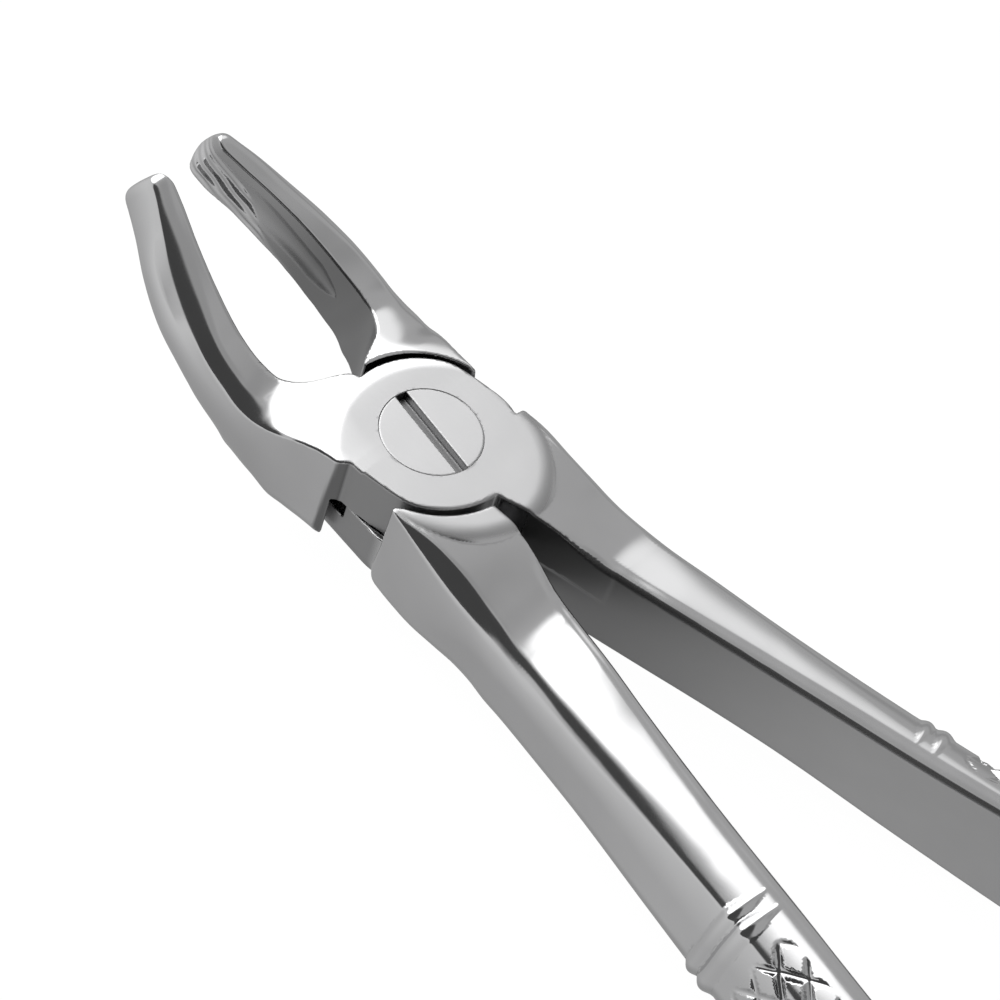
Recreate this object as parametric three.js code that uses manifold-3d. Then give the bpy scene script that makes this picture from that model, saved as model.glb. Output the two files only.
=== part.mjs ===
// Dental extraction forceps with an English-pattern screw joint.
// Frame: origin on the pivot axis at the joint's back face, +X to the beak tips,
// +Y to the side of the front half's beak, +Z to the screw head. Millimetres.
import * as THREE from "three";
import Module from "manifold-3d";

const wasm = await Module();
wasm.setup();

// ---- joint ----
const JOINT_THICK = 11.6; // both discs together
const LAP_GAP = 0.08; // running gap between the two lap faces
const DISC_R = 8.05; // disc of each half
const DISC_FLAT = 7.6; // half width across the discs' ground sides
const SHOULDER_R = 8.6; // hollow shoulders that face the other half's disc
const EDGE_BREAK = 0.18; // small bevel round the discs

// ---- pivot screw ----
const HEAD_R = 4.6;
const HEAD_THICK = 2.4;
const SHANK_R = 3.1;
const SCREW_CLEAR = 0.05; // radial
const SLOT_WIDTH = 1.2;
const SLOT_DEEP = 1.1;
const SLOT_TURN = -11; // degrees from +X
const THREAD_PITCH = 1.0;

// ---- grip ----
const BEADS = [-47.5, -49.3]; // two collar beads ahead of the grip
const BEAD_HIGH = 0.55;
const BEAD_HALF = 0.85;
const GRIP_START = -51;
const GRIP_END = -137;
const HATCH_PITCH = 4.2; // along the handle, between grooves of one family
const HATCH_DEEP = 0.5;
const HATCH_STEP = HATCH_PITCH / 4;
const HANDLE_END = -142;

// ---- beak ----
const TEETH = 6; // lengthwise serrations on the gripping face
const TOOTH_DEEP = 0.3;
const HOLLOW_DEEP = 0.7;

// Handle corners, one row per station along X. Heights are above the back face.
// x, inner y, inner z, top outer y, z, bevel outer y, z, crease y, z, low y, z, floor z
const HANDLE = [
  [-3.2, 0.7, 11.2, 8.2, 11.6, 8.5, 11.2, 8.5, 6.6, 8.5, 1.0, 0.0],
  [-6.0, 1.0, 11.2, 8.2, 11.5, 8.9, 10.9, 9.1, 6.8, 9.0, 1.0, 0.0],
  [-8.8, 1.35, 11.1, 8.0, 11.0, 9.1, 9.8, 9.4, 6.8, 9.4, 1.1, 0.0],
  [-11.6, 1.75, 11.0, 8.2, 10.4, 9.4, 9.0, 9.7, 6.8, 9.5, 1.3, -0.1],
  [-14.0, 2.25, 10.4, 8.4, 9.6, 9.5, 8.3, 9.9, 6.8, 9.5, 1.4, -0.3],
  [-17.0, 2.8, 9.4, 8.8, 9.1, 9.5, 8.1, 10.1, 6.7, 9.9, 1.4, -0.4],
  [-20.0, 3.3, 9.1, 9.2, 8.8, 9.75, 8.0, 10.4, 6.6, 10.35, 1.3, -0.4],
  [-25.0, 4.35, 9.0, 10.0, 8.55, 10.5, 7.9, 11.1, 6.6, 11.2, 1.3, -0.4],
  [-30.0, 5.5, 8.95, 10.7, 8.45, 11.2, 7.85, 11.8, 6.55, 12.1, 1.3, -0.5],
  [-40.0, 7.55, 8.85, 11.9, 8.4, 12.7, 7.9, 13.3, 6.5, 14.2, 1.2, -0.9],
  [-50.0, 9.5, 8.9, 13.4, 8.5, 14.4, 8.0, 15.1, 6.5, 16.2, 1.0, -1.6],
  [-60.0, 11.4, 9.0, 15.3, 8.6, 16.3, 8.1, 17.1, 6.6, 18.0, 0.8, -2.1],
  [-80.0, 14.7, 9.1, 18.9, 8.7, 19.9, 8.2, 20.8, 6.6, 21.6, 0.6, -2.2],
  [-100.0, 17.1, 9.0, 21.4, 8.6, 22.4, 8.1, 23.4, 6.5, 24.1, 0.6, -2.1],
  [-120.0, 18.2, 8.9, 22.3, 8.5, 23.4, 8.0, 24.3, 6.4, 24.8, 0.7, -1.9],
  [-136.0, 17.9, 8.7, 21.3, 8.3, 22.4, 7.8, 23.2, 6.2, 23.5, 0.9, -1.6],
  [-142.0, 17.5, 8.6, 20.5, 8.2, 21.5, 7.7, 22.3, 6.2, 22.5, 1.0, -1.5],
];

// Beak corners: the side view's top and bottom point, then y of the inner face,
// the top facet's outer edge, the bevel's outer edge, the widest line and the low edge,
// then how far below the top line the facet edge, bevel edge and widest line are.
const BEAK = [
  [2.1, 11.6, 2.1, 0.0, 0.2, 8.2, 8.4, 8.5, 8.5, 0.1, 0.4, 5.0],
  [4.5, 11.6, 4.5, 0.0, 0.6, 8.1, 8.6, 8.7, 8.7, 0.3, 0.7, 5.0],
  [7.0, 11.6, 7.0, 0.0, 1.0, 8.6, 9.2, 9.4, 9.3, 0.7, 1.3, 5.0],
  [8.8, 11.55, 8.8, 0.0, 1.3, 8.9, 9.7, 9.9, 9.6, 1.0, 1.7, 4.8],
  [10.4, 11.45, 10.6, 0.7, 4.4, 8.9, 9.9, 10.1, 9.5, 1.4, 2.0, 4.6],
  [12.1, 11.35, 13.4, 2.7, 5.75, 8.8, 10.1, 10.4, 9.9, 1.8, 2.2, 4.3],
  [14.1, 11.6, 16.4, 4.6, 6.1, 8.7, 10.1, 10.6, 10.2, 1.6, 2.1, 4.0],
  [16.9, 12.5, 19.6, 6.6, 6.05, 8.4, 9.8, 10.5, 10.1, 1.35, 1.9, 3.7],
  [20.9, 14.6, 23.7, 8.9, 5.45, 7.5, 8.8, 9.8, 9.4, 1.05, 1.6, 3.4],
  [24.6, 16.3, 27.4, 10.9, 4.5, 6.4, 7.5, 8.5, 8.1, 0.8, 1.3, 3.1],
  [27.9, 17.9, 30.6, 12.5, 3.4, 5.0, 5.9, 6.8, 6.5, 0.6, 1.0, 3.0],
  [29.9, 18.8, 32.5, 13.5, 3.0, 4.2, 5.0, 5.7, 5.5, 0.5, 0.8, 2.9],
  [30.9, 19.25, 33.4, 14.0, 3.0, 4.0, 4.7, 5.3, 5.1, 0.5, 0.8, 2.8],
];

// Smooth curve through the rows of a table whose first column is position.
function curveAt(table, at) {
  const up = table[table.length - 1][0] > table[0][0] ? 1 : -1;
  let i = 0;
  while (i < table.length - 2 && up * (at - table[i + 1][0]) > 0) i += 1;
  const a = table[i];
  const b = table[i + 1];
  const before = table[Math.max(i - 1, 0)];
  const after = table[Math.min(i + 2, table.length - 1)];
  const span = b[0] - a[0];
  const t = Math.min(Math.max((at - a[0]) / span, 0), 1);
  return a.map((_, k) => {
    const slopeA = (b[k] - before[k]) / (b[0] - before[0]);
    const slopeB = (after[k] - a[k]) / (after[0] - a[0]);
    const t2 = t * t;
    const t3 = t2 * t;
    return (
      (2 * t3 - 3 * t2 + 1) * a[k] +
      (t3 - 2 * t2 + t) * span * slopeA +
      (3 * t2 - 2 * t3) * b[k] +
      (t3 - t2) * span * slopeB
    );
  });
}

// A closed solid through rings of equal length, each an array of [x, y, z].
function loft(rings) {
  const count = rings[0].length;
  const points = rings.flat(2);
  const tris = [];
  for (let r = 0; r + 1 < rings.length; r += 1) {
    for (let i = 0; i < count; i += 1) {
      const j = (i + 1) % count;
      const a = r * count + i;
      const b = r * count + j;
      tris.push(a, b, b + count, a, b + count, a + count);
    }
  }
  const caps = [0, rings.length - 1];
  caps.forEach((r, which) => {
    const middle = points.length / 3;
    const sum = [0, 0, 0];
    rings[r].forEach((p) => p.forEach((v, k) => (sum[k] += v / count)));
    points.push(...sum);
    for (let i = 0; i < count; i += 1) {
      const a = r * count + i;
      const b = r * count + ((i + 1) % count);
      if (which === 0) tris.push(middle, b, a);
      else tris.push(middle, a, b);
    }
  });
  return solid(points, tris);
}

function solid(points, tris) {
  const make = (list) =>
    new wasm.Manifold(
      new wasm.Mesh({
        numProp: 3,
        vertProperties: new Float32Array(points),
        triVerts: new Uint32Array(list),
      }),
    );
  const made = make(tris);
  if (made.volume() > 0) return made;
  const turned = [];
  for (let i = 0; i < tris.length; i += 3) turned.push(tris[i], tris[i + 2], tris[i + 1]);
  return make(turned);
}

// A prism over a plan outline of [x, y] points.
function prism(outline, low, high) {
  return loft([outline.map(([x, y]) => [x, y, low]), outline.map(([x, y]) => [x, y, high])]);
}

// A turned piece about the pivot axis from [radius, z] pairs, bottom to top.
function turned(profile, sides) {
  const rings = profile.map(([r, z]) =>
    Array.from({ length: sides }, (_, i) => {
      const a = (2 * Math.PI * i) / sides;
      return [r * Math.cos(a), r * Math.sin(a), z];
    }),
  );
  return loft(rings);
}

// Point and outward normal on an open outline at a distance along it.
function along(outline, distance) {
  let left = distance;
  for (let i = 0; i + 1 < outline.length; i += 1) {
    const [ay, az] = outline[i];
    const [by, bz] = outline[i + 1];
    const length = Math.hypot(by - ay, bz - az);
    if (left <= length || i === outline.length - 2) {
      const t = left / length;
      return [ay + (by - ay) * t, az + (bz - az) * t, (az - bz) / length, (by - ay) / length];
    }
    left -= length;
  }
}

// One handle on the +Y side, from the joint to its rounded end.
function handle() {
  const spots = [1, 1.33, 1.66, 2, 2.5, 3, 3.5, 4, 4.25, 4.5, 4.75, 5, 5.5, 6];
  const ring = (x, shrink) => {
    const c = curveAt(HANDLE, x);
    const [, yi, zi, yt, zt, yb, zb, yk, zk, yl, zl, zf] = c;
    const corners = [
      [yi, zi],
      [yi + 0.7, Math.min(zi + 0.55, JOINT_THICK)],
      [yt, zt],
      [yb, zb],
      [yk, zk],
      [yl, zl],
      [yl - 1.3, zf + 0.15],
      [yi + 0.8, zf],
      [yi, zf + 0.7],
    ];
    const outer = corners.slice(1, 8);
    const lengths = outer.slice(1).map((p, i) => Math.hypot(p[0] - outer[i][0], p[1] - outer[i][1]));
    const total = lengths.reduce((a, b) => a + b, 0);
    const crest = lengths[0] + lengths[1];
    const inGrip = x <= GRIP_START && x >= GRIP_END;
    const side = spots.map((spot, j) => {
      const seg = Math.floor(spot) - 1;
      const before = lengths.slice(0, seg).reduce((a, b) => a + b, 0);
      let w = before + (spot - 1 - seg) * (lengths[seg] || 0);
      if (inGrip) w = Math.min(Math.max(crest + (j - 4) * HATCH_STEP, 0.05 * j), total - 0.1 * (14 - j));
      let push = 0;
      for (const bead of BEADS) {
        const near = Math.abs(x - bead) / BEAD_HALF;
        const fade = Math.min(1, (2.2 * w) / total, (3 * (total - w)) / total);
        if (near < 1) push += BEAD_HIGH * Math.cos((near * Math.PI) / 2) * fade;
      }
      if (inGrip) {
        const step = Math.round((x - GRIP_START) / HATCH_STEP);
        const onFirst = (((step + j) % 4) + 4) % 4 === 0;
        const onSecond = (((step - j) % 4) + 4) % 4 === 0;
        const edge = j > 0 && j < 13;
        if ((onFirst || onSecond) && edge) push -= HATCH_DEEP;
      }
      const [y, z, ny, nz] = along(outer, w);
      return [y + ny * push, z + nz * push];
    });
    const loop = [corners[0], ...side, corners[7], corners[8]];
    const midY = (yi + yl) / 2;
    const midZ = (zt + zf) / 2;
    return loop.map(([y, z]) => [x, midY + (y - midY) * shrink, midZ + (z - midZ) * shrink]);
  };
  const rings = HANDLE.filter((row) => row[0] > -45).map((row) => ring(row[0], 1));
  rings.push(ring(-45, 1), ring(-46.6, 1));
  for (const bead of BEADS) {
    for (const part of [0.55, 0, -0.55]) rings.push(ring(bead + part * BEAD_HALF, 1));
    rings.push(ring(bead - 1.06 * BEAD_HALF, 1));
  }
  const steps = Math.round((GRIP_START - GRIP_END) / HATCH_STEP);
  for (let i = 0; i <= steps; i += 1) rings.push(ring(GRIP_START - i * HATCH_STEP, 1));
  const last = GRIP_START - steps * HATCH_STEP;
  for (const t of [0.35, 0.6, 0.8, 0.93, 0.99]) {
    rings.push(ring(last + (HANDLE_END - last) * t, Math.sqrt(1 - t * t * 0.97)));
  }
  return loft(rings);
}

// One beak on the +Y side, from the joint to its tip.
function beak() {
  const order = BEAK.map((row, i) => [i, ...row]);
  const ring = (at, shrink) => {
    const [, xt, zt, xb, zb, yi, yf, yv, yw, yl, df, dv, dw] = curveAt(order, at);
    const high = Math.hypot(xb - xt, zb - zt);
    const grip = THREE.MathUtils.smoothstep(at, 6.6, 9.4);
    const teeth = THREE.MathUtils.smoothstep(at, 7.6, 8.4);
    const inner = [];
    for (let k = 1; k < 2 * TEETH + 2; k += 1) {
      const t = k / (2 * TEETH + 2);
      const hollow = HOLLOW_DEEP * grip * 4 * t * (1 - t);
      const tooth = k % 2 ? TOOTH_DEEP * teeth : 0;
      inner.push([yi + hollow + tooth, 0.35 + (high - 0.7) * (1 - t)]);
    }
    const loop = [
      [yi, 0],
      [yf, df],
      [yv, dv],
      [yw, dw],
      [yl, high - 0.9],
      [yl - 1.0, high],
      [yi + 0.35, high],
      ...inner,
    ];
    const midY = (yi + yw) / 2;
    return loop.map(([y, d]) => {
      const down = high / 2 + (d - high / 2) * shrink;
      return [xt + ((xb - xt) * down) / high, midY + (y - midY) * shrink, zt + ((zb - zt) * down) / high];
    });
  };
  const rings = [];
  const last = BEAK.length - 1;
  for (let i = 0; i < last; i += 1) {
    rings.push(ring(i, 1));
    if (i > 3) rings.push(ring(i + 0.5, 1));
  }
  rings.push(ring(last - 0.12, 0.97), ring(last, 0.82));
  return loft(rings);
}

// Plan of the root web on a half's own disc level, on the handle side of the joint.
const WEB = [
  [0, 3],
  [-9.4, 0.0],
  [-10.8, -0.4],
  [-12.0, -1.2],
  [-13.4, -2.3],
  [-11.5, -5],
  [-5, -7.5],
];

const LAP = JOINT_THICK / 2;

// The front half. Its beak is on +Y, its handle on -Y and its disc in front.
function frontHalf(handSolid, beakSolid) {
  const low = LAP + LAP_GAP / 2;
  const disc = turned(
    [
      [DISC_R, low],
      [DISC_R, JOINT_THICK - EDGE_BREAK],
      [DISC_R - EDGE_BREAK, JOINT_THICK],
    ],
    96,
  );
  const sides = prism(
    [
      [-9, -DISC_FLAT],
      [9, -DISC_FLAT],
      [9, DISC_FLAT],
      [-9, DISC_FLAT],
    ],
    0,
    JOINT_THICK,
  );
  const web = prism(WEB, low, JOINT_THICK);
  const arms = beakSolid.add(handSolid.mirror([0, 1, 0]));
  const hollow = turned(
    [
      [SHOULDER_R, -5],
      [SHOULDER_R, low],
    ],
    120,
  );
  const joined = arms.add(web).subtract(hollow).add(disc.intersect(sides));
  return joined;
}

// Screw hole with the head's seat, cut from the front.
function screwSpace(extra) {
  const seat = JOINT_THICK - HEAD_THICK;
  return turned(
    [
      [SHANK_R + extra, -1],
      [SHANK_R + extra, seat - extra],
      [HEAD_R + extra, seat - extra],
      [HEAD_R + extra, JOINT_THICK + 1],
    ],
    96,
  );
}

function screw() {
  const seat = JOINT_THICK - HEAD_THICK;
  const profile = [[SHANK_R - 0.4, 0]];
  for (let z = 0.4; z + THREAD_PITCH <= LAP; z += THREAD_PITCH) {
    profile.push([SHANK_R, z], [SHANK_R, z + 0.25], [SHANK_R - 0.4, z + 0.6]);
  }
  profile.push([SHANK_R - 0.4, LAP - 0.3], [SHANK_R, LAP], [SHANK_R, seat], [HEAD_R, seat]);
  profile.push([HEAD_R, JOINT_THICK - 0.12], [HEAD_R - 0.12, JOINT_THICK]);
  const half = SLOT_WIDTH / 2;
  const turn = THREE.MathUtils.degToRad(SLOT_TURN);
  const corner = (x, y) => [
    x * Math.cos(turn) - y * Math.sin(turn),
    x * Math.sin(turn) + y * Math.cos(turn),
  ];
  const slot = prism(
    [corner(-6, -half), corner(6, -half), corner(6, half), corner(-6, half)],
    JOINT_THICK - SLOT_DEEP,
    JOINT_THICK + 1,
  );
  return turned(profile, 96).subtract(slot);
}

function node(name, made, colour, roughness, metalness) {
  const mesh = made.getMesh();
  const geometry = new THREE.BufferGeometry();
  geometry.setAttribute("position", new THREE.BufferAttribute(new Float32Array(mesh.vertProperties), 3));
  geometry.setIndex(new THREE.BufferAttribute(new Uint32Array(mesh.triVerts), 1));
  geometry.computeVertexNormals();
  const material = new THREE.MeshStandardMaterial({ color: colour, roughness, metalness });
  const out = new THREE.Mesh(geometry, material);
  out.name = name;
  return out;
}

const hand = handle();
const jaw = beak();
const front = frontHalf(hand, jaw);
// The back half's joint is the front half's turned over about X, but its arms are
// the front half's mirrored, because both beaks rise towards the screw head.
const flip = (m) => m.translate([0, 0, -LAP]).rotate([180, 0, 0]).translate([0, 0, LAP]);
function backHalf() {
  const high = LAP - LAP_GAP / 2;
  const disc = turned(
    [
      [DISC_R - EDGE_BREAK, 0],
      [DISC_R, EDGE_BREAK],
      [DISC_R, high],
    ],
    96,
  );
  const sides = prism(
    [
      [-9, -DISC_FLAT],
      [9, -DISC_FLAT],
      [9, DISC_FLAT],
      [-9, DISC_FLAT],
    ],
    0,
    JOINT_THICK,
  );
  const web = prism(
    WEB.map(([x, y]) => [x, -y]),
    0,
    high,
  );
  const arms = jaw.mirror([0, 1, 0]).add(hand);
  const hollow = turned(
    [
      [SHOULDER_R, high],
      [SHOULDER_R, JOINT_THICK + 5],
    ],
    120,
  );
  return arms.add(web).subtract(hollow).add(disc.intersect(sides));
}
const hole = screwSpace(SCREW_CLEAR);

const forceps = new THREE.Group();
forceps.name = "extraction_forceps";
forceps.add(node("front_half", front.subtract(hole), 0xc9cbcc, 0.22, 1));
forceps.add(node("back_half", backHalf().subtract(hole), 0xc4c6c8, 0.24, 1));
forceps.add(node("pivot_screw", screw(), 0xbfc1c3, 0.32, 1));

export default forceps;
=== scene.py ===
# Dental extraction forceps: polished forged halves, satin joint face and slotted screw.
# The halves are implicit solids in millimetres, meshed here and placed in the CAD frame.
import math

import bpy
import numpy as np
from mathutils import Matrix, Vector


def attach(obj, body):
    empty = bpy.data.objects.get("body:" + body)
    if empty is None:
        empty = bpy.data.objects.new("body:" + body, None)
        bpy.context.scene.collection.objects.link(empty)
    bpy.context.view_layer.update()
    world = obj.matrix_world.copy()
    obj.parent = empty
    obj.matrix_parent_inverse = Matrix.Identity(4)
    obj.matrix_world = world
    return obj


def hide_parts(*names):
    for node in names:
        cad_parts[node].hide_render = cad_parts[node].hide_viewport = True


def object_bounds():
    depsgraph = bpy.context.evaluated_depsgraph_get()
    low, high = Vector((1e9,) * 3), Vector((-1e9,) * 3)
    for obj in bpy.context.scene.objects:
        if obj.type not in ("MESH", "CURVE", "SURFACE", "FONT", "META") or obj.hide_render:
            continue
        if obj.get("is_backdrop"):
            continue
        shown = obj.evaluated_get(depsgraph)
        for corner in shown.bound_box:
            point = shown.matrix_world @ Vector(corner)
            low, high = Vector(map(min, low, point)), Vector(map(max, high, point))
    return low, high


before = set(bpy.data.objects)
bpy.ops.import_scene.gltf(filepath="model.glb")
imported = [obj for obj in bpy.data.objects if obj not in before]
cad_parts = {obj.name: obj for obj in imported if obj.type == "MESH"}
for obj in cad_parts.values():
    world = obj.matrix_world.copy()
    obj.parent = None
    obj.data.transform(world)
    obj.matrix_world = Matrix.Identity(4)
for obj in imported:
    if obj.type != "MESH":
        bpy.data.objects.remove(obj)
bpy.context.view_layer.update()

MM = 0.001

# ---------------------------------------------------------------- driving sizes, mm
JOINT = 11.6                    # thickness of both discs together
LAP = JOINT / 2                 # height of the plane between the discs
LAP_GAP = 0.12
DISC_R = 8.05
LOWER_DISC_R = 8.45
DISC_FLAT = 7.6                 # half width across the discs' flats
FLAT_TURN = math.radians(7)     # how far each half stands open about its flats
SHOULDER_R = 8.6                # cut in a half's shoulders around the other disc
NOTCH = (1.6, 5.0, 1.85)        # side notch of the lower disc: its x, its y, its drop below the lap
HEAD_R = 4.6
HEAD_THICK = 2.4
SHANK_R = 3.1
SHANK_LIFT = 1.2                # the shank stops this far below the joint face
SCREW_CLEAR = 0.04
RIM_SNAP = 0.19                 # mesh points this near the seat's rim are put on it
SLOT_WIDTH = 1.15
SLOT_DEEP = 1.0
SLOT_TURN = math.radians(-11)
PAD_CENTRE = (-2.6, -0.6)       # arc that ends the raised joint face on the handle side
PAD_R = 9.6
PAD_ROLL = 2.0                  # width and depth of the roll at that arc
PAD_STEP = 0.62
HANDLE_START = -3.25
HANDLE_END = -142.0
END_ROUND = 7.0                 # rounding of the handle's end
FACET_START = (0.7, 0.5)        # where the top facet's line starts, off the inner wall's top
FACET_SINK = 0.13               # the top facet stays this far below the joint face
FACET_CROWN = 0.22
EASE_DROP = 0.27                # drop of the eased inner edge, per mm of its width
BEADS = ((-47.35, 0.72, 0.46), (-49.05, 0.88, 0.56))   # place, half width, height
FRONT_BEADS = 0.6               # share of the beads' height that the front half has
GRIP_START = -51.6
GRIP_END = -137.0
GRIP_PITCH = 4.1
DIAGONAL = 0.7071               # the grooves cross the grip at 45 degrees
GRIP_SKEW = 0.19                # beads and grip lean along the handle, per mm of y from SKEW_Y
SKEW_Y = 10.0
GRIP_BAND = 3.4                 # half width around the section of a band of deep cuts
GRIP_DEEP = 0.50                # deepest cut, along the two bevels of the grip
GRIP_FAINT = 0.24               # cut on the side between them
LEAN = 0.405                    # how far the beak's sections lean back, per mm of depth
RISE = math.radians(26.8)       # slope of the beak's rising line
TIP_S = 31.3                    # beak length along that line
TIP_SKEW = 0.5                  # how far the tip's cut slants outwards, per mm of y
TIP_ROUND = 1.6
NECK_FALL = 0.33                # slope of the beak's top face where it leaves the disc
UNDERCUT = 0.9                  # height of the bevel under the beak's outer side
HOLLOW_DEEP = 0.5               # spoon hollow in the gripping face
FLUTE_PITCH = 0.92
FLUTE_DEEP = 0.15

# Handle stations: x, inner wall's y and top z, then y and z of the top facet's outer edge, the
# bevel's outer edge, the widest line and the low edge, and the underside's z.
HANDLE = np.array([
    [-3.2, 0.7, 10.9, 8.2, 11.4, 8.55, 11.3, 8.6, 6.8, 8.5, 1.0, 0.0],
    [-6.0, 1.0, 10.95, 8.2, 11.3, 8.9, 10.7, 9.2, 6.8, 9.0, 1.0, 0.0],
    [-8.8, 1.35, 10.95, 8.1, 11.0, 9.15, 9.7, 9.5, 6.8, 9.4, 1.1, 0.0],
    [-11.6, 1.3, 10.65, 8.2, 10.4, 9.35, 8.9, 9.7, 6.8, 9.5, 1.3, -0.1],
    [-14.0, 1.75, 10.2, 8.4, 9.7, 9.4, 8.4, 9.8, 6.8, 9.5, 1.4, -0.3],
    [-16.0, 2.15, 9.75, 8.65, 9.3, 9.45, 8.15, 9.95, 6.75, 9.7, 1.4, -0.4],
    [-18.0, 2.5, 9.25, 8.95, 8.95, 9.6, 8.05, 10.15, 6.7, 10.1, 1.35, -0.4],
    [-20.0, 2.9, 9.1, 9.25, 8.75, 9.75, 8.0, 10.4, 6.6, 10.35, 1.3, -0.4],
    [-25.0, 3.95, 9.0, 10.0, 8.55, 10.5, 7.9, 11.1, 6.6, 11.2, 1.3, -0.4],
    [-30.0, 5.1, 8.8, 10.65, 8.45, 11.15, 7.85, 11.8, 6.55, 12.1, 1.3, -0.5],
    [-40.0, 7.25, 8.6, 11.9, 8.4, 12.6, 7.9, 13.3, 6.5, 14.2, 1.2, -0.9],
    [-50.0, 9.25, 8.6, 13.4, 8.5, 14.3, 8.0, 15.1, 6.5, 16.2, 1.0, -1.6],
    [-60.0, 11.4, 8.75, 15.3, 8.6, 16.3, 8.1, 17.3, 6.6, 18.2, 0.8, -2.5],
    [-80.0, 14.7, 9.1, 18.9, 8.7, 19.9, 8.2, 20.8, 6.6, 21.6, 0.6, -2.2],
    [-100.0, 17.1, 9.0, 21.4, 8.6, 22.4, 8.1, 23.4, 6.5, 24.1, 0.6, -2.1],
    [-120.0, 18.2, 8.9, 22.3, 8.5, 23.4, 8.0, 24.3, 6.4, 24.8, 0.7, -1.9],
    [-136.0, 17.9, 8.7, 21.3, 8.3, 22.4, 7.8, 23.2, 6.2, 23.5, 0.9, -1.6],
    [-143.0, 17.5, 8.6, 20.5, 8.2, 21.5, 7.7, 22.3, 6.2, 22.5, 1.0, -1.5],
])

# Beak side view: x and z of the top line.
TOP_LINE = np.array([
    [2.0, 11.6], [8.8, 11.55], [10.4, 11.42], [12.2, 11.3], [13.4, 11.4], [14.6, 11.72],
    [16.9, 12.55], [18.7, 13.42], [20.9, 14.55], [24.6, 16.35], [27.9, 17.9], [31.5, 19.5],
    [36.0, 21.5],
])
# Beak stations by the x of their top point: gripping face's y, then y and depth of the top
# facet's edge, the bevel's edge and the widest line, the low edge's y, and the depth of the
# underside at the gripping face and outside.
BEAK = np.array([
    [2.0, 0.2, 8.3, 0.15, 8.5, 0.35, 8.8, 5.0, 8.9, 11.2, 11.1],
    [4.5, 0.45, 8.6, 0.4, 8.75, 0.55, 9.0, 5.0, 9.0, 11.0, 11.1],
    [7.0, 0.66, 9.1, 0.9, 9.25, 1.05, 9.45, 5.0, 9.2, 10.6, 11.1],
    [8.8, 0.85, 9.4, 1.4, 9.55, 1.6, 9.85, 4.8, 9.4, 9.6, 10.9],
    [10.4, 4.0, 9.4, 1.3, 9.9, 1.75, 10.2, 4.6, 9.6, 7.9, 9.6],
    [12.1, 5.6, 9.3, 0.95, 10.08, 1.7, 10.4, 4.3, 9.8, 7.2, 8.0],
    [14.1, 6.05, 9.22, 0.45, 10.05, 1.42, 10.5, 4.0, 10.0, 7.1, 7.1],
    [16.9, 6.02, 8.92, 0.24, 9.82, 1.2, 10.42, 3.7, 9.85, 7.2, 6.7],
    [20.9, 5.42, 7.8, 0.3, 8.75, 1.1, 9.85, 3.4, 9.45, 7.3, 6.4],
    [24.6, 4.48, 6.55, 0.36, 7.3, 0.92, 8.55, 3.1, 8.15, 7.1, 6.2],
    [27.9, 3.42, 5.35, 0.2, 5.85, 0.58, 6.7, 3.0, 6.4, 7.0, 6.1],
    [29.9, 2.9, 4.5, 0.14, 4.85, 0.42, 5.7, 2.9, 5.5, 6.9, 6.0],
    [31.5, 2.7, 3.9, 0.12, 4.2, 0.36, 5.1, 2.8, 4.9, 6.8, 5.9],
])
# Web between disc and handle at the height of the disc: its slanting sides in plan, as x and y of
# two points each, with the web on the right-hand side.
WEB_EDGES = ((0.0, -3.0, -9.4, 0.0), (-9.4, 0.0, -13.0, 1.05), (-13.0, 1.05, -20.0, 3.3))
WEB_END = -19.0

# ---------------------------------------------------------------- mesh grid, mm
# Middle of a handle: distances behind the pivot, and how far it lies from y = 0 there.
ARM_PATH = ((12, 20, 40, 60, 80, 100, 120, 143),
            (0.5, 6.0, 10.7, 14.5, 18.0, 20.5, 21.4, 20.2))
# Grid lines as stretches of start, end and step.
ALONG = ((-143.5, -60.0, 0.46), (-60.0, -45.5, 0.2), (-45.5, -24.0, 0.75), (-24.0, -14.0, 0.35),
         (-14.0, 34.6, 0.235))
ACROSS = ((-10.8, 10.8, 0.265),)
UPWARDS = ((0.0, 13.2, 0.25),)
SCREW_PLAN = ((-5.0, 5.1, 0.11),)
SCREW_HEIGHT = ((-0.6, 12.2, 0.11),)

# ---------------------------------------------------------------- steel, scales per metre
CLOUD = 260.0                   # slow change of tone and roughness
BUFFED = (400.0, 5200.0, 5200.0)      # buffing lines along the instrument
TURNED = (5200.0, 5200.0, 260.0)      # lines up the turned and satin faces
SPECK = 3400.0
WAVE = 190.0                    # hand-polished waviness
WAVE_DEEP = 0.00003             # depths of the reliefs in metres
LINES_DEEP = 0.000002
SPECK_DEEP = 0.0000015

# ---------------------------------------------------------------- studio and camera
# Lobes: azimuth, elevation, inner and outer half angle in degrees, brightness.
SOFT_BOXES = (
    (228, 30, 5, 30, 0.34),
    (35, 4, 8, 46, 0.74),
    (200, 76, 4, 20, 0.40),
    (108, 32, 41, 48, 0.07),
    (294, 35, 7, 15, 1.25),
    (350, 40, 37, 41, 2.1),
)
ROOM_LEVEL = 0.50               # brightness between the lobes
HORIZON = 0.07                  # height of the dimmed band's middle on the unit sphere
HORIZON_DIM = 0.74
FLOOR_R = 2.4                   # metres
FLOOR_TONE = 0.86
FLOOR_GLOW = 1.05               # what the camera sees of the floor
FLOOR_BOUNCE = (0.36, 0.80)     # what reflections see of it, from straight down to grazing

# Places in mm, roll in degrees.
CAMERA_PLACE = (-76.79, 144.42, 213.70)
CAMERA_AIM = (-8.60, 0.667, JOINT)
CAMERA_ROLL = 20.76
CAMERA_LENS = 110.2
CAMERA_SENSOR = 36.0
FLOOR_DROP = 0.0003             # metres between the part and the floor


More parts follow.
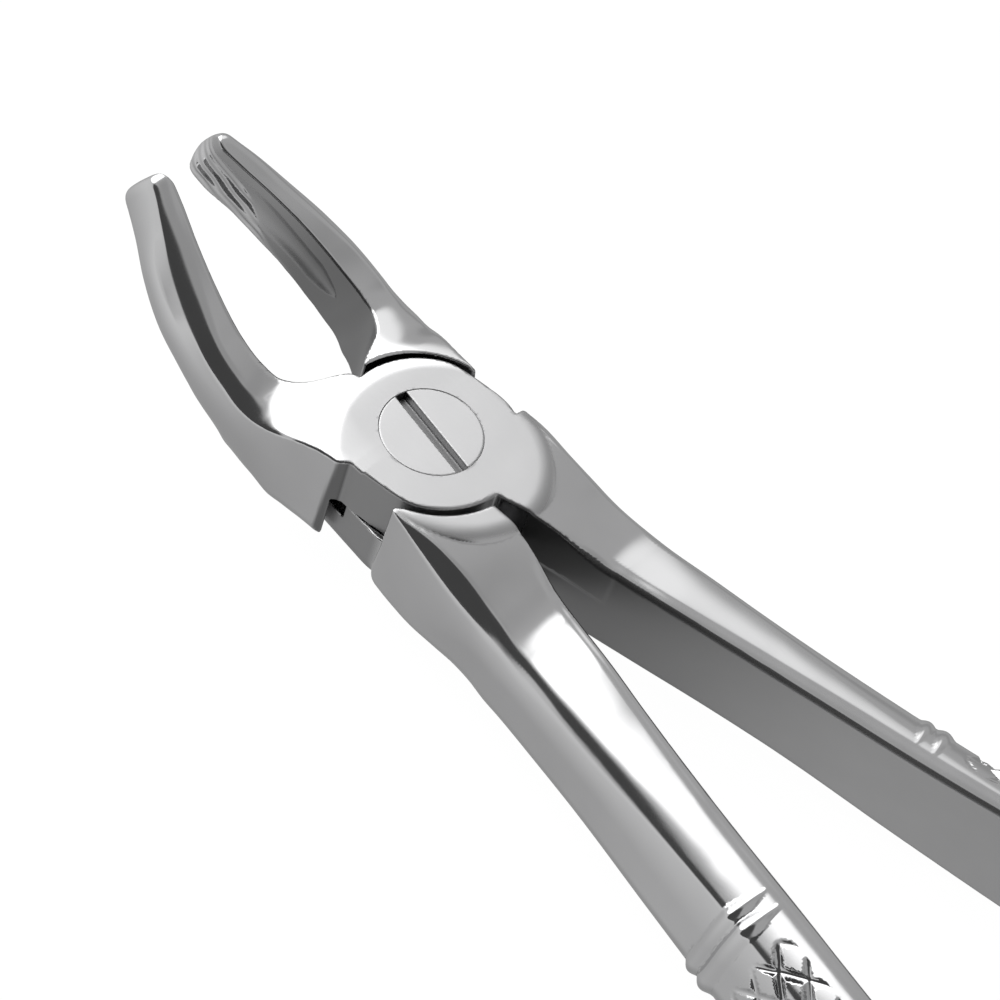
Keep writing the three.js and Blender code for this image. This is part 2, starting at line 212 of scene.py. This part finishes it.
# ---------------------------------------------------------------- field helpers
def smax(a, b, k):
    """Larger of two distances, rounded over a band k wide."""
    near = np.maximum(k - np.abs(a - b), 0.0) / k
    return np.maximum(a, b) + near * near * (k * 0.25)


def smin(a, b, k):
    """Smaller of two distances, rounded over a band k wide."""
    return -smax(-a, -b, k)


def step(lo, hi, v):
    """Smooth rise from 0 where v is lo to 1 where it is hi."""
    t = np.clip((v - lo) / (hi - lo), 0.0, 1.0)
    return t * t * (3 - 2 * t)


def curve(table, at):
    """Smooth curves through a table's columns against its first, one array like at for each."""
    rows = table if table[0, 0] < table[-1, 0] else table[::-1]
    xs = rows[:, 0]
    at = np.clip(at, xs[0], xs[-1])
    i = np.clip(np.searchsorted(xs, at) - 1, 0, len(xs) - 2)
    span = xs[i + 1] - xs[i]
    t = (at - xs[i]) / span
    slopes = np.gradient(rows, xs, axis=0)
    t2, t3 = t * t, t * t * t
    h00, h10 = 2 * t3 - 3 * t2 + 1, (t3 - 2 * t2 + t) * span
    h01, h11 = 3 * t2 - 2 * t3, (t3 - t2) * span
    return [h00 * rows[i, k] + h10 * slopes[i, k] + h01 * rows[i + 1, k] + h11 * slopes[i + 1, k]
            for k in range(1, rows.shape[1])]


def edge(y, z, ay, az, by, bz):
    """Distance outside the line from a to b, with the solid on its right-hand side."""
    ly, lz = by - ay, bz - az
    size = np.sqrt(ly * ly + lz * lz)
    return ((z - az) * ly - (y - ay) * lz) / size


# ---------------------------------------------------------------- the forging
def handle_top(x, y, cols):
    """Height of the top face on the handle side: raised joint pad, then the crowned top facet
    with its inner edge eased."""
    yi, zi, yt, zt = cols[0:4]
    start_y, start_z = yi + FACET_START[0], zi + FACET_START[1]
    slope = (zt - start_z) / (yt - start_y)
    crown = FACET_CROWN * (1 - ((y - (yi + yt) / 2) / ((yt - yi) / 2 + 0.3)) ** 2)
    facet = start_z + slope * (y - start_y) + crown * step(-14.0, -24.0, x)
    facet = np.minimum(facet, JOINT - FACET_SINK)
    broad = 1.3 + 0.6 * step(-20.0, -48.0, x)
    ease = np.clip((yi + broad - y) / broad, 0.0, 1.0) * step(-12.0, -17.0, x)
    facet = facet - EASE_DROP * broad * ease * ease
    beyond = np.hypot(x - PAD_CENTRE[0], y - PAD_CENTRE[1]) - PAD_R
    roll = np.maximum(beyond + PAD_ROLL, 0.0) / PAD_ROLL * step(0.5, -2.0, x)
    return smax(JOINT - PAD_STEP * roll ** 2.8, facet, 0.05)


def hatch(x, y, z, cols):
    """Depth of the crossed grip grooves, laid out around the section from the bevel's edge."""
    yi, yb, zb, yl = cols[0], cols[4], cols[5], cols[8]
    around = (y - yb) + (zb - z)
    run = x - GRIP_SKEW * (y - SKEW_Y)
    total = (yl - yb) + zb
    lower = np.abs(around - total + 0.6)
    deep = GRIP_DEEP * (1 - (np.minimum(np.abs(around), lower) / GRIP_BAND) ** 2)
    side = step(0.0, 1.5, around) * step(total, total - 1.5, around)
    deep = np.maximum(deep, GRIP_FAINT * side)
    deep = deep * step(1.0, 2.6, y - yi)
    deep = deep * step(GRIP_START + 0.4, GRIP_START - 1.6, run) * step(GRIP_END, GRIP_END + 2, run)
    cut = 0.0
    for way in (1, -1):
        phase = (run + way * around) / GRIP_PITCH
        off = np.abs(phase - np.round(phase)) * GRIP_PITCH * DIAGONAL
        groove = deep * (1 - (off / (0.28 + 0.75 * deep)) ** 2)
        cut = np.maximum(cut, np.maximum(groove, 0.0))
    return cut


def handle_walls(x, y, z, cols):
    """One handle without its top face, with y measured towards its own side."""
    yi, _, yt, zt, yb, zb, yk, zk, yl, zl, zf = cols
    f = smax(yi - y, edge(y, z, yt, zt, yb, zb), 0.16)
    outer = smax(edge(y, z, yb, zb, yk, zk), edge(y, z, yk, zk, yl, zl), 0.6)
    f = smax(f, outer, 0.2)
    f = smax(f, edge(y, z, yl, zl, yl - 1.3, zf + 0.1), 0.5)
    f = smax(f, zf - z, 0.6)
    under = 0.6 - 0.45 * step(-36.0, -52.0, x)
    f = smax(f, edge(y, z, yi + under, zf, yi, zf + under), 0.35)
    start = HANDLE_START + 0.07 * np.maximum(6.0 - z, 0.0)
    f = smax(f, x - start, 0.35 + 0.9 * step(3.0, 0.5, z))
    return smax(f, HANDLE_END - x, END_ROUND)


def grip_relief(x, y, z, cols, front):
    """Height of the two beads, which run out on the top facet, less the grip grooves."""
    yi, yl, zf = cols[0], cols[8], cols[10]
    run = x - GRIP_SKEW * (y - SKEW_Y)
    fade = step(0.20, 0.70, (y - yi) / (yl - yi))
    low = step(zf - 0.2, zf + 1.6, z)
    relief = -hatch(x, y, z, cols)
    share = FRONT_BEADS if front else 1.0
    for place, half, high in BEADS:
        reach = half * (0.2 + 0.9 * fade) + 0.06
        near = np.clip(1 - ((run - place) / reach) ** 2, 0.0, 1.0)
        relief = relief + share * high * near ** 1.5 * fade * low
    return relief


def beak_spot(x, z):
    """Station and depth below the top line for a point of the side view."""
    line = curve(TOP_LINE, x)[0]
    ahead = curve(TOP_LINE, x + 0.3)[0]
    behind = curve(TOP_LINE, x - 0.3)[0]
    tilt = np.arctan((ahead - behind) / 0.6)
    under = line - z
    lean = LEAN * step(8.8, 16.4, x)
    return x - lean * under, under * np.cos(tilt)


def beak_relief(s, d, high):
    """Depth of the spoon hollow and the lengthwise flutes on the gripping face."""
    reach = np.sqrt(np.clip((s - 15.2) / 2.6, 0.0, 1.0))
    hollow_half = (1.7 + 0.5 * step(19.0, 25.0, s)) * reach + 1e-3
    hollow = HOLLOW_DEEP * reach * np.clip(1 - ((d - 0.47 * high) / hollow_half) ** 2, 0.0, 1.0) ** 1.4
    rise = high - d
    run = rise + 0.2 * (31.0 - s) + 0.10 * np.sin(0.8 * s) + 0.04 * np.sin(2.1 * s + rise)
    flute = 0.5 - 0.5 * np.cos(2 * math.pi * run / FLUTE_PITCH)
    ragged = 0.8 + 0.2 * np.sin(1.1 * s + 1.3 * rise)
    return hollow + FLUTE_DEEP * flute * ragged * fluted(s, rise) * step(0.0, 0.5, rise)


def fluted(s, rise):
    """Share of the gripping face's flutes at height rise above its lower edge."""
    border = 0.7 + 4.7 * step(20.0, 29.5, s)
    return step(border + 0.3, border - 0.3, rise) * step(17.8, 20.4, s)


def beak_walls(x, y, z, root):
    """One beak cut off at root, without its top face, and that face on its own, with y measured
    towards the beak's own side."""
    s, d = beak_spot(x, z)
    yi, yf, df, yv, dv, yw, dw, yl, high, low = curve(BEAK, s)
    neck = smax(0.0, NECK_FALL * (y - (yf - df / NECK_FALL)), 1.0)
    facet = df * (y - yi) / (yf - yi)
    top = neck + (facet - neck) * step(12.3, 13.5, x + 0.36 * (y - 6.2))
    f = yi + beak_relief(s, d, high) - y
    f = smax(f, edge(y, -d, yf, -df, yv, -dv), 0.12)
    under = UNDERCUT - low
    outer = smax(edge(y, -d, yv, -dv, yw, -dw), edge(y, -d, yw, -dw, yl, under), 0.7)
    f = smax(f, outer, 0.15)
    f = smax(f, edge(y, -d, yl, under, yl - 1.0, -low), 0.6)
    f = smax(f, edge(y, -d, yl - 1.0, -low, yi, -high), 0.5)
    along = x * math.cos(RISE) + (z - JOINT) * math.sin(RISE)
    f = smax(f, along - TIP_S - TIP_SKEW * (y - 4.0), TIP_ROUND)
    return smax(f, root, 0.25), top - d


def web_plan(x, y):
    """Plan distance outside a root web, with y measured towards its handle."""
    plan = np.maximum(-y - 2.5, x + 2.0)
    for ax, ay, bx, by in WEB_EDGES:
        lx, ly = bx - ax, by - ay
        plan = np.maximum(plan, ((y - ay) * lx - (x - ax) * ly) / math.hypot(lx, ly))
    return smax(np.maximum(plan, y - 7.0), WEB_END - x, 0.2)


def half_field(x, y, z, front):
    """The front half, with its beak at +Y, or the back half, with its beak at -Y."""
    side = 1.0 if front else -1.0
    by, hy = y * side, -y * side
    level = (z - LAP - LAP_GAP / 2) if front else (LAP - LAP_GAP / 2 - z)
    r = np.hypot(x, y)
    cols = curve(HANDLE, x)
    root = 1.3 - x
    if front:
        root = 2.15 - x + np.maximum(1.1 * (by - 7.7), 0.0)
    beak, beak_top = beak_walls(x, by, z, root)
    walls = smin(beak, handle_walls(x, hy, z, cols), 0.1)
    hollow = smax(r - SHOULDER_R, level, 0.05)
    walls = smax(walls, -hollow, 0.30)
    flat = np.abs(by * math.cos(FLAT_TURN) - x * math.sin(FLAT_TURN)) - DISC_FLAT
    disc = smax(r - (DISC_R if front else LOWER_DISC_R), flat, 0.5)
    if not front:
        notch_x, notch_y, notch_drop = NOTCH
        corner = np.maximum(np.maximum(notch_x - x, LAP - notch_drop - z), notch_y - y)
        disc = smax(smax(disc, -corner, 0.08), -z, 2.2)
    core = smax(smin(disc, web_plan(x, hy), 0.3), -level, 0.12)
    if not front:
        core = smax(core, -z, 0.25)
    f = smin(walls, core, 0.25 + 0.6 * step(-9.0, -11.0, x))
    roof = np.where(x > 0.8, beak_top, z - handle_top(np.minimum(x, 0.8), hy, cols))
    beak_soft = 0.27 if front else 0.08
    soft = 0.28 + beak_soft * step(6.0, 12.0, x) + 0.17 * step(-9.0, -12.0, x)
    f = smax(f, roof, soft)
    f = f - grip_relief(x, hy, z, cols, front)
    bore = r - (SHANK_R + SCREW_CLEAR)
    f = smax(f, -bore, 0.10)
    seat = smax(r - (HEAD_R + SCREW_CLEAR), JOINT - HEAD_THICK - z, 0.05)
    return smax(f, -seat, 0.05)


def screw_field(x, y, z):
    """The pivot screw: slotted head flush with the joint face, shank and flush end."""
    r = np.hypot(x, y)
    head = smax(r - HEAD_R, np.abs(z - (JOINT - HEAD_THICK / 2)) - HEAD_THICK / 2, 0.12)
    shank_half = (JOINT - SHANK_LIFT) / 2
    shank = smax(r - SHANK_R, np.abs(z - shank_half) - shank_half, 0.25)
    across = -x * math.sin(SLOT_TURN) + y * math.cos(SLOT_TURN)
    slot = smax(np.abs(across) - SLOT_WIDTH / 2, JOINT - SLOT_DEEP - z, 0.15)
    return smax(smin(head, shank, 0.2), -slot, 0.09)


# ---------------------------------------------------------------- meshing
def grid_frame(x, front):
    """Centre and scale across Y, then start and scale up Z, of the mesh grid at x, so that it
    follows the beak and the handle."""
    side = 1.0 if front else -1.0
    beak = step(9.0, 16.0, x)
    arm = np.interp(-x, *ARM_PATH)
    centre = side * (7.9 * beak - 3.6 * step(19.0, 31.0, x) - arm * step(-12.0, -24.0, x))
    wide = 1.0 - 0.48 * beak - 0.18 * step(-14.0, -24.0, x)
    rising = step(13.0, 17.0, x)
    flat = -0.6 - 2.4 * step(-14.0, -50.0, x)
    low = flat * (1 - rising) + (3.4 + 0.46 * (x - 16.9)) * rising
    tall = 1.0 - 0.24 * rising
    return centre, wide, low, tall


def surface_net(field, xs, vs, zs, grid):
    """Closed quad mesh of field = 0 on a grid that slides and scales with grid(x)."""
    centre, wide, low, tall = [part[:, None, None] for part in grid(xs)]
    y = centre + wide * vs[None, :, None]
    z = low + tall * zs[None, None, :]
    values = field(xs[:, None, None], y, z)
    inside = values < 0
    nx, ny, nz = values.shape
    count = np.zeros((nx - 1, ny - 1, nz - 1), np.int8)
    for a in (0, 1):
        for b in (0, 1):
            for c in (0, 1):
                count += inside[a:nx - 1 + a, b:ny - 1 + b, c:nz - 1 + c]
    cells = np.argwhere((count > 0) & (count < 8))
    index = np.full(count.shape, -1, np.int32)
    index[tuple(cells.T)] = np.arange(len(cells))
    total = np.zeros((len(cells), 3))
    hits = np.zeros(len(cells))
    corners = [np.array(c) for c in np.ndindex(2, 2, 2)]
    for i, start in enumerate(corners):
        for end in corners[i + 1:]:
            if np.abs(end - start).sum() != 1:
                continue
            fa = values[tuple((cells + start).T)]
            fb = values[tuple((cells + end).T)]
            crossing = (fa < 0) != (fb < 0)
            share = np.where(crossing, fa / np.where(crossing, fa - fb, 1.0), 0.0)
            total += (start + share[:, None] * (end - start)) * crossing[:, None]
            hits += crossing
    spot = cells + total / hits[:, None]
    px = np.interp(spot[:, 0], np.arange(nx), xs)
    centre, wide, low, tall = grid(px)
    py = centre + wide * np.interp(spot[:, 1], np.arange(ny), vs)
    pz = low + tall * np.interp(spot[:, 2], np.arange(nz), zs)
    quads = []
    for axis in range(3):
        u, v = [k for k in range(3) if k != axis]
        shape = [slice(None)] * 3
        lower, upper = list(shape), list(shape)
        lower[axis], upper[axis] = slice(0, -1), slice(1, None)
        flips = inside[tuple(lower)] != inside[tuple(upper)]
        where = np.argwhere(flips)
        sound = (where[:, u] > 0) & (where[:, v] > 0)
        sound &= (where[:, u] < values.shape[u] - 1) & (where[:, v] < values.shape[v] - 1)
        where = where[sound]
        starts_in = inside[tuple(where.T)]
        ring = []
        for du, dv in ((1, 1), (0, 1), (0, 0), (1, 0)):
            cell = where.copy()
            cell[:, u] -= du
            cell[:, v] -= dv
            ring.append(index[tuple(cell.T)])
        ring = np.stack(ring, 1)
        turn = starts_in if axis != 1 else ~starts_in
        ring[turn] = ring[turn][:, ::-1]
        quads.append(ring[:, ::-1])
    return np.stack([px, py, pz], 1), np.concatenate(quads)


def slope_of(field, p, h):
    """Field, its gradient and its bend (positive on edges, negative in corners) at p."""
    value = field(p[:, 0], p[:, 1], p[:, 2])
    grad = np.zeros_like(p)
    bend = -6.0 * value
    for k in range(3):
        shift = [h * (k == j) for j in range(3)]
        ahead = field(p[:, 0] + shift[0], p[:, 1] + shift[1], p[:, 2] + shift[2])
        behind = field(p[:, 0] - shift[0], p[:, 1] - shift[1], p[:, 2] - shift[2])
        grad[:, k] = (ahead - behind) / (2 * h)
        bend += ahead + behind
    return value, grad, bend / h


def settle(field, points, reach):
    """Moves points onto the surface; returns them with outward normals and bend."""
    p = points.copy()
    for _ in range(3):
        value, grad, _ = slope_of(field, p, 0.02)
        size = np.maximum((grad ** 2).sum(1), 0.05)
        move = -(value / size)[:, None] * grad
        length = np.linalg.norm(move, axis=1, keepdims=True)
        p += move * np.minimum(1.0, reach / np.maximum(length, 1e-9))
    _, grad, bend = slope_of(field, p, 0.05)
    return p, grad / np.maximum(np.linalg.norm(grad, axis=1, keepdims=True), 1e-9), bend


def span(stretches):
    scale = 1.0
    return np.concatenate([np.arange(a, b, s * scale) for a, b, s in stretches])


def forging_surface(front):
    """Points, quads, normals, edge sharpness, satin share and painted-shade share of one half."""
    def field(x, y, z):
        return half_field(x, y, z, front)

    def grid(x):
        return grid_frame(x, front)

    points, quads = surface_net(field, span(ALONG), span(ACROSS), span(UPWARDS), grid)
    points, normals, bend = settle(field, points, 0.12)
    x, y, z = points.T
    r = np.hypot(x, y)
    rim = HEAD_R + SCREW_CLEAR
    on_rim = np.hypot(r - rim, z - JOINT) < RIM_SNAP
    points[on_rim, :2] *= (rim / r[on_rim])[:, None]
    points[on_rim, 2] = JOINT
    normals[on_rim] = (0.0, 0.0, 1.0)
    bend, satin, painted_shade = finish_and_painted_shade(points, normals, bend, front)
    return points, quads, normals, bend, satin, painted_shade


def finish_and_painted_shade(points, normals, bend, front):
    """Edge sharpness, satin share and painted-shade share at the points of a half; the painted shade
    darkens the turned disc walls, the handles' inner walls near the joint, the gripping faces and the
    shoulders' end walls.
    """
    x, y, z = points.T
    r = np.hypot(x, y)
    upright = np.abs(normals[:, 2])
    across = -y if front else y
    facing = normals[:, 1] * (1.0 if front else -1.0)
    beyond = np.hypot(x - PAD_CENTRE[0], across - PAD_CENTRE[1]) - PAD_R
    pad = step(JOINT - 0.5, JOINT - 0.15, z) * step(0.15, -0.5, beyond) * step(9.6, 8.4, x)
    pad = pad * step(10.6, 8.4, r * (x > 0))
    turned = step(DISC_R + 0.4, DISC_R + 0.1, r) * step(0.75, 0.45, upright)
    inner = step(0.4, 0.8, facing) * step(-9.0, -12.0, x)
    gripping = step(-0.3, -0.7, facing) * step(8.0, 10.0, x)
    s, d = beak_spot(x, z)
    underside = curve(BEAK, s)[8]
    flutes = gripping * fluted(s, underside - d)
    gripping = np.maximum(gripping * (1 - 0.6 * step(17.0, 26.0, s)) - 0.4 * flutes, 0.0)
    bend = bend * (1 - 0.8 * flutes) * (1 - 0.5 * step(GRIP_START + 0.6, GRIP_START, x))
    satin = np.maximum(np.maximum(pad, turned), np.maximum(0.8 * inner, 0.7 * gripping))
    # painted shade on the shoulders' end walls at the beaks' roots
    shoulder = step(-0.3, -0.6, normals[:, 0]) * step(0.6, 1.0, x) * step(11.0, 10.0, x)
    shoulder = shoulder * step(0.5, 0.3, upright)
    # painted shade: darker turned disc walls, inner handle walls near the joint and gripping faces
    turned = 0.38 * turned * step(9.0, 8.0, np.abs(x))
    inner = 0.85 * inner * step(-48.0, -14.0, x)
    painted_shade = np.maximum(np.maximum(turned, inner), np.maximum(0.78 * gripping, shoulder))
    return bend, satin, painted_shade


def screw_surface():
    """Points, quads, normals, edge sharpness, satin share and painted-shade share of the screw; the
    painted shade is a painted shadow on the slot's floor.
    """
    def grid(x):
        return 0.0 * x, 0.0 * x + 1, 0.0 * x, 0.0 * x + 1

    plan = span(SCREW_PLAN)
    points, quads = surface_net(screw_field, plan, plan, span(SCREW_HEIGHT), grid)
    points, normals, bend = settle(screw_field, points, 0.08)
    satin = step(0.6, 0.9, normals[:, 2])
    # painted shadow on the floor of the screw's slot
    painted_shade = satin * step(JOINT - 0.5, JOINT - 0.8, points[:, 2]) * 0.8
    return points, quads, normals, bend, satin, painted_shade


# ---------------------------------------------------------------- blender pieces
def mesh_piece(name, surface, material):
    """A smooth quad mesh in metres that carries its edge sharpness, satin share and painted-shade
    share.
    """
    points, quads, normals, bend, satin, painted_shade = surface
    mesh = bpy.data.meshes.new(name)
    mesh.vertices.add(len(points))
    mesh.vertices.foreach_set("co", (points * MM).astype(np.float32).ravel())
    mesh.loops.add(quads.size)
    mesh.loops.foreach_set("vertex_index", quads.astype(np.int32).ravel())
    mesh.polygons.add(len(quads))
    mesh.polygons.foreach_set("loop_start", np.arange(0, quads.size, 4, dtype=np.int32))
    mesh.update(calc_edges=True)
    mesh.shade_smooth()
    # the third attribute is painted shade, which darkens the steel's colour
    for label, values in (("bend", bend), ("satin", satin), ("painted_shade", painted_shade)):
        layer = mesh.attributes.new(label, "FLOAT", "POINT")
        layer.data.foreach_set("value", values.astype(np.float32))
    mesh.normals_split_custom_set_from_vertices(normals.tolist())
    mesh.materials.append(material)
    piece = bpy.data.objects.new(name, mesh)
    bpy.context.scene.collection.objects.link(piece)
    return piece


# ---------------------------------------------------------------- materials
class Nodes:
    """Short calls for building a node tree."""

    def __init__(self, tree):
        self.tree = tree

    def add(self, kind, **values):
        """New node with the given settings."""
        node = self.tree.nodes.new(kind)
        for key, value in values.items():
            setattr(node, key, value)
        return node

    def put(self, socket, value):
        """Links an output, or a plain value, to an input socket."""
        if hasattr(value, "is_output"):
            self.tree.links.new(value, socket)
        else:
            socket.default_value = value

    def maths(self, operation, *values, clamp=False):
        """Result of a maths node."""
        node = self.add("ShaderNodeMath", operation=operation, use_clamp=clamp)
        for socket, value in zip(node.inputs, values):
            self.put(socket, value)
        return node.outputs[0]

    def ramp(self, value, low, high, to_low=0.0, to_high=1.0):
        """Smooth change from to_low to to_high while value goes from low to high."""
        node = self.add("ShaderNodeMapRange", clamp=True, interpolation_type="SMOOTHSTEP")
        for key, item in (("Value", value), ("From Min", low), ("From Max", high),
                          ("To Min", to_low), ("To Max", to_high)):
            self.put(node.inputs[key], item)
        return node.outputs["Result"]

    def mix(self, factor, low, high):
        """Blend of two numbers."""
        node = self.add("ShaderNodeMix", data_type="FLOAT")
        self.put(node.inputs[0], factor)
        self.put(node.inputs[2], low)
        self.put(node.inputs[3], high)
        return node.outputs[0]

    def noise(self, vector, scale, detail=2.0, rough=0.5):
        """Noise from 0 to 1, in features of 1 / scale metres."""
        node = self.add("ShaderNodeTexNoise")
        self.put(node.inputs["Vector"], vector)
        self.put(node.inputs["Scale"], scale)
        self.put(node.inputs["Detail"], detail)
        self.put(node.inputs["Roughness"], rough)
        return node.outputs["Fac"]

    def stretch(self, vector, scale):
        """Coordinates with their own scale on each axis."""
        node = self.add("ShaderNodeMapping")
        self.put(node.inputs["Vector"], vector)
        node.inputs["Scale"].default_value = scale
        return node.outputs["Vector"]

    def bump(self, height, distance, strength=1.0, normal=None):
        """Normal bent by a height map of the given depth in metres."""
        node = self.add("ShaderNodeBump")
        self.put(node.inputs["Height"], height)
        self.put(node.inputs["Distance"], distance)
        self.put(node.inputs["Strength"], strength)
        if normal is not None:
            self.put(node.inputs["Normal"], normal)
        return node.outputs["Normal"]


def forged_steel(name, polish, satin_rough):
    """Hand-polished stainless steel with satin faces and buffing lines, painted highlights along its
    convex edges, which are also rougher, and painted shade in its concave corners and where the
    painted-shade share is set.
    polish and satin_rough are the roughness of its bright and satin faces."""
    material = bpy.data.materials.new(name)
    material.use_nodes = True
    tree = material.node_tree
    n = Nodes(tree)
    shader = tree.nodes["Principled BSDF"]
    where = n.add("ShaderNodeTexCoord").outputs["Object"]
    bend = n.add("ShaderNodeAttribute", attribute_name="bend").outputs["Fac"]
    satin = n.add("ShaderNodeAttribute", attribute_name="satin").outputs["Fac"]
    # share of painted shade on the steel's colour
    painted_shade = n.add("ShaderNodeAttribute", attribute_name="painted_shade").outputs["Fac"]
    cloud = n.noise(where, CLOUD, 3.0)
    grain = n.noise(n.stretch(where, BUFFED), 1.0, 3.0, 0.6)
    upright = n.noise(n.stretch(where, TURNED), 1.0, 3.0, 0.6)
    speck = n.noise(where, SPECK, 2.0, 0.7)
    # painted highlight mask along convex edges, which also get rougher
    edge_highlight = n.ramp(bend, 0.12, 0.8)
    # painted shade mask in concave corners, which also get rougher
    hollow = n.ramp(bend, -0.12, -0.9)
    rough = n.mix(satin, polish, satin_rough)
    rough = n.maths("ADD", rough, n.maths("MULTIPLY", n.maths("SUBTRACT", cloud, 0.5), 0.06))
    rough = n.maths("ADD", rough, n.maths("MULTIPLY", n.maths("SUBTRACT", grain, 0.5), 0.05))
    rough = n.maths("ADD", rough, n.maths("MULTIPLY", edge_highlight, 0.36))
    rough = n.maths("ADD", rough, n.maths("MULTIPLY", hollow, 0.22))
    n.put(shader.inputs["Roughness"], rough)
    tone = n.maths("MULTIPLY", n.mix(cloud, 0.61, 0.66), n.mix(satin, 1.0, 0.78))
    # painted shade where the painted-shade share is set
    tone = n.maths("MULTIPLY", tone, n.mix(painted_shade, 1.0, 0.32))
    # painted shade in concave corners
    tone = n.maths("MULTIPLY", tone, n.mix(hollow, 1.0, 0.42))
    # painted highlight along convex edges
    tone = n.maths("ADD", tone, n.maths("MULTIPLY", edge_highlight, 0.10))
    tint = n.add("ShaderNodeCombineColor")
    for socket, share in zip(tint.inputs, (1.0, 1.0, 1.008)):
        n.put(socket, n.maths("MULTIPLY", tone, share))
    n.put(shader.inputs["Base Color"], tint.outputs[0])
    shader.inputs["Metallic"].default_value = 1.0
    wavy = n.bump(n.noise(where, WAVE, 1.0), WAVE_DEEP)
    lined = n.bump(n.mix(satin, grain, upright), LINES_DEEP, n.mix(satin, 0.25, 0.5), wavy)
    n.put(shader.inputs["Normal"], n.bump(speck, SPECK_DEEP, n.mix(satin, 0.1, 0.8), lined))
    return material


# ---------------------------------------------------------------- studio
def pale_floor(level):
    """White floor for the camera, which reflections see darker at steep angles."""
    bpy.ops.mesh.primitive_circle_add(vertices=96, radius=FLOOR_R, fill_type="NGON",
                                      location=(0, 0, level))
    floor = bpy.context.object
    floor.name = "studio_floor"
    material = bpy.data.materials.new("pale_floor")
    material.use_nodes = True
    n = Nodes(material.node_tree)
    shader = material.node_tree.nodes["Principled BSDF"]
    shader.inputs["Base Color"].default_value = (FLOOR_TONE, FLOOR_TONE, FLOOR_TONE, 1)
    shader.inputs["Roughness"].default_value = 0.9
    glow = n.add("ShaderNodeEmission")
    glow.inputs["Color"].default_value = (1, 1, 1, 1)
    seen = n.add("ShaderNodeLightPath").outputs["Is Camera Ray"]
    steep = n.add("ShaderNodeSeparateXYZ")
    n.put(steep.inputs[0], n.add("ShaderNodeNewGeometry").outputs["Incoming"])
    grazing = n.maths("POWER", n.maths("SUBTRACT", 1.0, steep.outputs[2], clamp=True), 0.9)
    side_share = n.ramp(steep.outputs[1], 0.0, 1.0, 1.0, 0.6)
    bounce = n.maths("MULTIPLY", n.mix(grazing, *FLOOR_BOUNCE), side_share)
    n.put(glow.inputs["Strength"], n.mix(seen, bounce, FLOOR_GLOW))
    blend = n.add("ShaderNodeMixShader")
    n.put(blend.inputs[0], n.mix(seen, 1.0, 0.93))
    n.put(blend.inputs[1], shader.outputs[0])
    n.put(blend.inputs[2], glow.outputs[0])
    n.put(material.node_tree.nodes["Material Output"].inputs["Surface"], blend.outputs[0])
    floor.data.materials.append(material)
    floor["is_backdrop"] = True


def studio_world():
    """Soft boxes and dark cards around the part, a darker band at the horizon, and plain white
    for the camera."""
    world = bpy.data.worlds.new("studio")
    bpy.context.scene.world = world
    world.use_nodes = True
    n = Nodes(world.node_tree)
    ray = n.add("ShaderNodeTexCoord").outputs["Generated"]
    total = ROOM_LEVEL
    for azimuth, elevation, inner, outer, strength in SOFT_BOXES:
        az, el = math.radians(azimuth), math.radians(elevation)
        aim = (math.cos(el) * math.cos(az), math.cos(el) * math.sin(az), math.sin(el))
        dot = n.add("ShaderNodeVectorMath", operation="DOT_PRODUCT")
        n.put(dot.inputs[0], ray)
        dot.inputs[1].default_value = aim
        spread = n.ramp(dot.outputs["Value"], math.cos(math.radians(outer)),
                        math.cos(math.radians(inner)))
        total = n.mix(spread, total, strength)
    height = n.add("ShaderNodeSeparateXYZ")
    n.put(height.inputs[0], ray)
    off = n.maths("ABSOLUTE", n.maths("SUBTRACT", height.outputs[2], HORIZON))
    dim = n.ramp(height.outputs[1], -0.6, 0.1, HORIZON_DIM, 1.0)
    total = n.maths("MULTIPLY", total, n.ramp(off, 0.02, 0.17, dim, 1.0))
    total = n.mix(n.add("ShaderNodeLightPath").outputs["Is Camera Ray"], total, 1.0)
    n.put(world.node_tree.nodes["Background"].inputs["Color"], total)


def camera_view():
    """The camera looks down on the joint from above the handles, on the front beak's side."""
    data = bpy.data.cameras.new("camera")
    data.lens = CAMERA_LENS
    data.sensor_width = CAMERA_SENSOR
    data.clip_start = 0.01
    place = Vector(CAMERA_PLACE) * MM
    aim = Vector(CAMERA_AIM) * MM
    camera = bpy.data.objects.new("camera", data)
    bpy.context.scene.collection.objects.link(camera)
    turn = (aim - place).to_track_quat("-Z", "Y").to_matrix().to_4x4()
    roll = Matrix.Rotation(math.radians(CAMERA_ROLL), 4, "Z")
    camera.matrix_world = Matrix.Translation(place) @ turn @ roll
    bpy.context.scene.camera = camera


def build():
    """The two forgings and the screw, each on its body and in place of its CAD node."""
    steel = forged_steel("forged_stainless", 0.13, 0.37)
    joint_steel = forged_steel("turned_stainless", 0.16, 0.34)
    front = mesh_piece("front_forging", forging_surface(True), steel)
    back = mesh_piece("back_forging", forging_surface(False), steel)
    screw = mesh_piece("slotted_screw", screw_surface(), joint_steel)
    for piece, body, node, slot in ((front, "front", "front_half", "front_steel"),
                                    (back, "back", "back_half", "back_steel"),
                                    (screw, "back", "pivot_screw", "screw_steel")):
        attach(piece, body)
        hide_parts(node)


build()
pale_floor(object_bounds()[0][2] - FLOOR_DROP)
studio_world()
camera_view()
bpy.context.scene.view_settings.view_transform = "Standard"
bpy.context.scene.cycles.use_denoising = True
